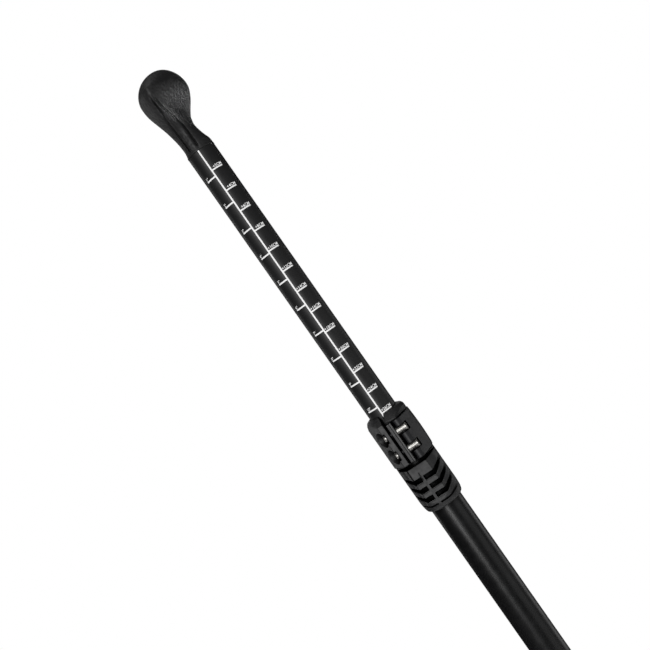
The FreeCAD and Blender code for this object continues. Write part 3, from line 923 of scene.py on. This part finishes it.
def clamp_sleeve():
    around = 300
    top = SLOT_DEPTHS[1]
    points = []
    rows = 1 + round((CLAMP_LONG - top) / 0.25)
    bore_rows = ((CLAMP_BORE + 0.3, top), (CLAMP_BORE, top + 0.3), (CLAMP_BORE, CLAMP_LONG - 0.3),
                 (CLAMP_BORE + 0.3, CLAMP_LONG))
    for row in range(rows):
        level = top + (CLAMP_LONG - top) * row / (rows - 1)
        shift = (0.22 + 0.78 * ease(level, top, top + 9.5)) * (1 - ease(level, 80, CLAMP_LONG))
        end = between(SLEEVE_END, max(level, 70))[0]
        rim = 0.5 * (1 - math.sqrt(max(0, 1 - (1 - min(1, (level - top) / 0.6)) ** 2)))
        for step in range(around):
            angle = front_angle(step, around)
            front = 1 - ease(abs(math.degrees(angle)), 88, 120)
            depth = level - sleeve_sweep(angle) * shift * front
            radius = soft_min((section(angle, *JAW_FACE), end)) + sleeve_marks(angle, level) - rim
            radius += (GROOVE_FLOOR - radius) * groove_share(angle, level)
            points.append(place_at(max(radius, CLAMP_BORE + 0.35), angle, MOUTH - depth))
    for radius, depth in reversed(bore_rows):
        for step in range(around):
            points.append(place_at(radius, front_angle(step, around), MOUTH - depth))
    faces = tube_faces(rows + len(bore_rows), around, "joined")
    piece("clamp_sleeve", points, faces, "clamp", "outer_section", "clamp_nylon", smooth_below=50)


# Cam lever, wear plate and clamp hardware.

LEVER_DEPTHS = (8.4, 44.7)
LEVER_BORE = 16.25
LEVER_RADIUS = 19.5
LIP_RADIUS = 2
LIP_DEGREES = 72
HINGE_RADIUS = 4.4
AXLE_HOLE = 1.56
WINDOW_RADIUS = 6.1
WINDOW_HIGH = 7


def lever_outline(squeeze):
    """The lever's section: a cheek, an arc round the clamp and its inner face."""
    outer = LEVER_RADIUS - squeeze
    outline = [(7.2, -22.6), (9.2, -22.95), (11.7, -21.9), (outer - 0.15, -6)]
    return outline + arc(outer, range(-12, 73, 6)) + arc(LEVER_BORE, range(72, -64, -6))


def clamp_lever():
    low = MOUTH - LEVER_DEPTHS[1]
    high = MOUTH - LEVER_DEPTHS[0]
    tall = high - low
    heights = [0, 1.45, 1.5] + [1.5 + (tall - 1.5) * step / 12 for step in range(1, 13)]
    points = []
    for height in heights:
        off_middle = (height - tall / 2) / (tall / 2)
        squeeze = 0.6 * off_middle ** 2
        if height < 1.48:
            squeeze += 0.2
        points += [(x, y, low + height) for x, y in lever_outline(squeeze)]
    lever = loose(points, tube_faces(len(heights), len(lever_outline(0))))
    lip_angle = math.radians(LIP_DEGREES)
    lip_x = (LEVER_RADIUS - 1.6) * math.cos(lip_angle)
    lip_y = (LEVER_RADIUS - 0.6) * math.sin(lip_angle)
    hinge = bar(HINGE_RADIUS, (*AXLE, low), tall, "Z")
    carve(lever, "UNION", hinge, bar(LIP_RADIUS, (lip_x, lip_y, low), tall, "Z"))
    cuts = [bar(AXLE_HOLE, (*AXLE, low - 1), tall + 2, "Z")]
    for depth in SCREW_DEPTHS:
        window_low = screw_height(depth) - WINDOW_HIGH / 2
        cuts.append(bar(WINDOW_RADIUS, (*AXLE, window_low), WINDOW_HIGH, "Z"))
    carve(lever, "DIFFERENCE", *cuts)
    mould(lever, 0.28, 4, 0.4)
    finish_carved(lever, "cam_lever", "lever", "lever", "lever_nylon", "clamp_lever",
                  smooth_below=60)


def wear_plate():
    low = MOUTH - LUG_DEPTHS[1]
    high = MOUTH - LUG_DEPTHS[0]
    plate = loose(*block((2.0, LUG_FRONT, low), (3.55, -16, high)))
    for depth in SCREW_DEPTHS:
        carve(plate, "DIFFERENCE", bar(3.3, (-1, AXLE[1], screw_height(depth)), 10, "X"))
    mould(plate, 0.2, 3, 0.4)
    finish_carved(plate, "cam_wear_plate", "shoe", "outer_section", "shoe_acetal", "cam_shoe",
                  smooth_below=60)


def barrel_nut(name, depth, node):
    """A turned barrel with chamfered ends, fine knurl rings and a threaded hole in one end."""
    start = 2.1
    profile = [(2.05, start + 4.2), (2.05, start + 0.3), (2.35, start), (2.85, start),
               (3.15, start + 0.3)]
    rings = 9
    for ring in range(rings):
        along = start + 0.6 + 9.4 * ring / rings
        profile += [(3.2, along), (3.2, along + 0.6), (3.15, along + 0.72), (3.15, along + 0.92)]
    profile += [(3.15, start + 10.3), (2.8, start + 10.7), (0.6, start + 10.7),
                (ON_AXIS, start + 10.6), (ON_AXIS, start + 4.6)]
    points, faces = lathe(profile, 64, "X", (0, AXLE[1], screw_height(depth)))
    piece(name, points, faces, "steel", "outer_section", "stainless", node)


def socket_screw(name, depth, node):
    """Cap screw along X: a bright rounded head with a hexagon socket, and a blackened shank."""
    seat = -6.6
    top = seat - 2.4
    centre = (0, AXLE[1], screw_height(depth))
    profile = [(ON_AXIS, top), (2.4, top), (2.7, top + 0.1), (2.9, top + 0.4), (2.9, seat - 0.2),
               (2.75, seat), (1.98, seat), (1.98, seat + 12.0), (1.7, seat + 12.2),
               (ON_AXIS, seat + 12.2)]
    screw = loose(*lathe(profile, 64, "X", centre, closed=False))
    socket = lathe(((1.6, top - 1), (1.6, top + 1.4)), 6, "X", centre, closed=False)
    carve(screw, "DIFFERENCE", socket)
    finish_carved(screw, name, "steel", "outer_section", "stainless", node)
    screw.data.materials.append(LOOKS["black_steel"].made)
    for face in screw.data.polygons:
        face.material_index = int(not seat - 1.4 < face.center.x / MM < seat - 0.1)


# Foot: ferrule with the basket's seat, point and button. Its shoulder is the frame's origin.

BUTTON_HIGH = 34
BUTTON_HOLE = 4.05
STUD_HOLE = 4.05
SEAT_RADIUS = 12
SEAT_LONG = 18
SHOULDER = 4
FERRULE_RADIUS = 12.7
FERRULE_TOP = 62


def tip_ferrule():
    chamfer = 0.4
    profile = [(STUD_HOLE, -SEAT_LONG), (SEAT_RADIUS - 0.8, -SEAT_LONG), (SEAT_RADIUS, 0.8 - SEAT_LONG),
               (SEAT_RADIUS, -0.6), (SEAT_RADIUS - 0.3, -0.3), (SEAT_RADIUS - 0.3, 0),
               (OUTER_RADIUS - chamfer, 0), (OUTER_RADIUS, chamfer), (OUTER_RADIUS, 1.4),
               (OUTER_RADIUS - 0.35, 1.6), (OUTER_RADIUS - 0.35, 2.2), (OUTER_RADIUS, 2.4),
               (OUTER_RADIUS, SHOULDER), (FERRULE_RADIUS, SHOULDER), (FERRULE_RADIUS, SHOULDER + 6),
               (10.5, SHOULDER + 6), (10.5, SHOULDER + 8.6), (FERRULE_RADIUS, SHOULDER + 8.6),
               (FERRULE_RADIUS, FERRULE_TOP - 1), (FERRULE_RADIUS - 1, FERRULE_TOP),
               (9.5, FERRULE_TOP), (9.5, SHOULDER + 12), (STUD_HOLE, SHOULDER + 12)]
    ferrule = loose(*lathe(profile, 128))
    carve(ferrule, "DIFFERENCE", bar(BUTTON_HOLE, (0, -20, BUTTON_HIGH), 15, "Y"))
    finish_carved(ferrule, "plug_ferrule", "alloy", "outer_section", "ferrule_alloy", "tip_ferrule")


def tip_point():
    """Hardened point: stud, turned base with two spanner flats, and a cone worn at its nose."""
    base = SEAT_RADIUS - 0.4
    worn = 2.35
    nose = []
    for degrees in range(4, 76, 12):
        angle = math.radians(degrees)
        nose.append((worn * math.sin(angle), FLOOR + worn - worn * math.cos(angle)))
    cone = []
    for share in (0.02, 0.25, 0.5, 0.75, 0.97):
        cone.append((2.4 + (base - 2.4) * share, FLOOR + 2 + 24.6 * share))
    rings = []
    for ring in range(3):
        low = FLOOR + 27.2 + 0.9 * ring
        rings += [(base, low), (base - 0.25, low + 0.2), (base - 0.25, low + 0.4), (base, low + 0.6)]
    profile = [(ON_AXIS, FLOOR), *nose, *cone, *rings, (base, -SEAT_LONG - 0.5),
               (base - 0.5, -SEAT_LONG), (4, -SEAT_LONG), (4, 11.4), (3.4, 12), (ON_AXIS, 12)]
    point = loose(*lathe(profile, 96, closed=False))
    for low, high in ((-30, 1.2 - base), (base - 1.2, 30)):
        flat = block((-15, low, -SEAT_LONG - 6.2), (15, high, -SEAT_LONG - 1.5))
        carve(point, "DIFFERENCE", flat)
    finish_carved(point, "steel_point", "steel", "outer_section", "stainless", "tip_point")


def release_button():
    """Domed pin with a foot that stops inside the ferrule."""
    profile = [(ON_AXIS, -6.5), (5.0, -6.5), (5.2, -6.7), (5.2, -7.5), (5.0, -7.7), (4, -7.7),
               (4, -13.6)]
    dome = 6.2
    for degrees in range(40, 0, -6):
        angle = math.radians(degrees)
        profile.append((dome * math.sin(angle), -9.8 - dome * math.cos(angle)))
    profile.append((ON_AXIS, -16))
    points, faces = lathe(profile, 64, "Y", (0, 0, BUTTON_HIGH), closed=False)
    piece("release_button", points, faces, "steel", "button", "stainless", "tip_button")


# Pieces that keep their CAD shape, with a finish and softened edges.

KEPT_NODES = {
    "grip_core": "clamp",
    "inner_end_plug": "clamp",
    "guide_ring": "guide",
    "lever_axle": "black_steel",
    "upper_screw_washer": "black_steel",
    "lower_screw_washer": "black_steel",
    "ferrule_o_ring": "seal",
    "button_spring": "spring",
}


def finish_cad_nodes():
    for name, look in KEPT_NODES.items():
        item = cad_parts[name]
        item.data.materials.clear()
        item.data.materials.append(LOOKS[look].made)
        weld = item.modifiers.new("weld", "WELD")
        weld.merge_threshold = 0.001 * MM
        bevel = item.modifiers.new("bevel", "BEVEL")
        bevel.width = 0.15 * MM
        bevel.segments = 2
        bevel.angle_limit = math.radians(40)
        bevel.use_clamp_overlap = True


LOOKS = make_looks()
make_camera()
make_world()
make_floor()
make_lights()
grip()
tubes()
printed_scale()
clamp_jaw()
clamp_sleeve()
clamp_lever()
wear_plate()
for side, screw_depth in zip(("upper", "lower"), SCREW_DEPTHS):
    barrel_nut(side + "_nut", screw_depth, side + "_barrel_nut")
    socket_screw(side + "_cap_screw", screw_depth, side + "_clamp_screw")
tip_ferrule()
tip_point()
release_button()
finish_cad_nodes()
